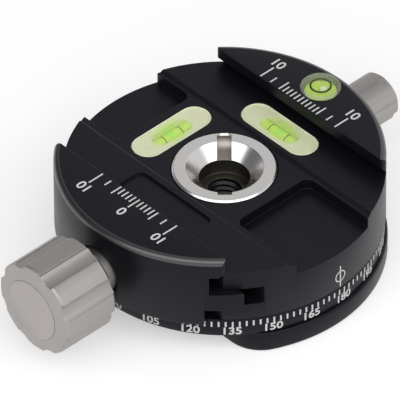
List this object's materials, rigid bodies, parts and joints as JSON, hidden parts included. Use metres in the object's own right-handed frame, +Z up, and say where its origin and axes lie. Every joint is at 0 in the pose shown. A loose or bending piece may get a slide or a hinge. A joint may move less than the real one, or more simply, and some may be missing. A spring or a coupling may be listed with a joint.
{
  "type": "panoramic tripod head",
  "caption": "Round quick release clamp on a panning base, with a sliding jaw, a scalloped clamp knob, a small pan lock knob, bubble levels, a degree scale and tripod sockets below and above.",
  "frame": {"origin": "centre of the tripod socket at the base's underside, on the pan axis", "axes": "Z up along the pan axis, from the base to the jaws' tops; X runs from the clamp knob to the fixed jaw and the pan lock knob; Y runs along the jaws, the way a plate slides"},
  "size_m": [0.0898, 0.06, 0.024],
  "materials": {
    "black_anodised": "matte black anodised",
    "black_steel": "black oxide",
    "bright_steel": "turned",
    "white_plastic": "smooth",
    "brass": "turned",
    "vial_plastic": "frosted, pale yellow green",
    "level_liquid": "clear lime green",
    "clear_lens": "polished",
    "blasted_aluminium": "bead blasted, warm grey",
    "black_plastic": "smooth"
  },
  "bodies": {
    "base": {"base_plate": "black_anodised", "degree_disc": "black_anodised", "base_screws": "black_steel", "centre_spindle": "bright_steel", "hub_washer": "white_plastic", "spindle_washer": "white_plastic"},
    "clamp": {"clamp_body": "black_anodised", "screw_insert": "bright_steel", "guide_pins": "bright_steel", "pan_sleeve": "brass", "vial_x_block": "vial_plastic", "vial_x_liquid": "level_liquid", "vial_x_plug": "vial_plastic", "vial_y_block": "vial_plastic", "vial_y_liquid": "level_liquid", "vial_y_plug": "vial_plastic", "bull_cup": "vial_plastic", "bull_liquid": "level_liquid", "bull_lens": "clear_lens"},
    "jaw": {"moving_jaw": "black_anodised", "jaw_springs": "bright_steel"},
    "clamp_knob": {"clamp_knob": "blasted_aluminium", "knob_cap": "blasted_aluminium", "clamp_screw": "bright_steel", "screw_clip": "bright_steel", "knob_collar": "bright_steel"},
    "pan_pad": {"brake_pad": "black_plastic"},
    "pan_knob": {"pan_knob": "blasted_aluminium", "pan_screw": "bright_steel", "pan_cap": "blasted_aluminium"}
  },
  "joints": [
    {"name": "pan_turn", "type": "hinge", "parent": "base", "child": "clamp", "pos_m": [0, 0, 0], "axis": [0, 0, 1], "continuous": true},
    {"name": "jaw_slide", "type": "slide", "parent": "clamp", "child": "jaw", "axis": [1, 0, 0], "range_m": [-0.0008, 0.0028]},
    {"name": "knob_turn", "type": "hinge", "parent": "jaw", "child": "clamp_knob", "pos_m": [-0.04, 0, 0.0139], "axis": [1, 0, 0], "range_deg": [-361, 1261]},
    {"name": "pad_slide", "type": "slide", "parent": "clamp", "child": "pan_pad", "axis": [-1, 0, 0], "range_m": [-0.0006, 0.00025]},
    {"name": "lock_turn", "type": "hinge", "parent": "pan_pad", "child": "pan_knob", "pos_m": [0.035, 0, 0.0135], "axis": [-1, 0, 0], "range_deg": [-361, 151]}
  ],
  "couplings": [
    {"joint": "knob_turn", "follows": "jaw_slide", "rad_per_m": 7854},
    {"joint": "lock_turn", "follows": "pad_slide", "rad_per_m": 10472}
  ]
}
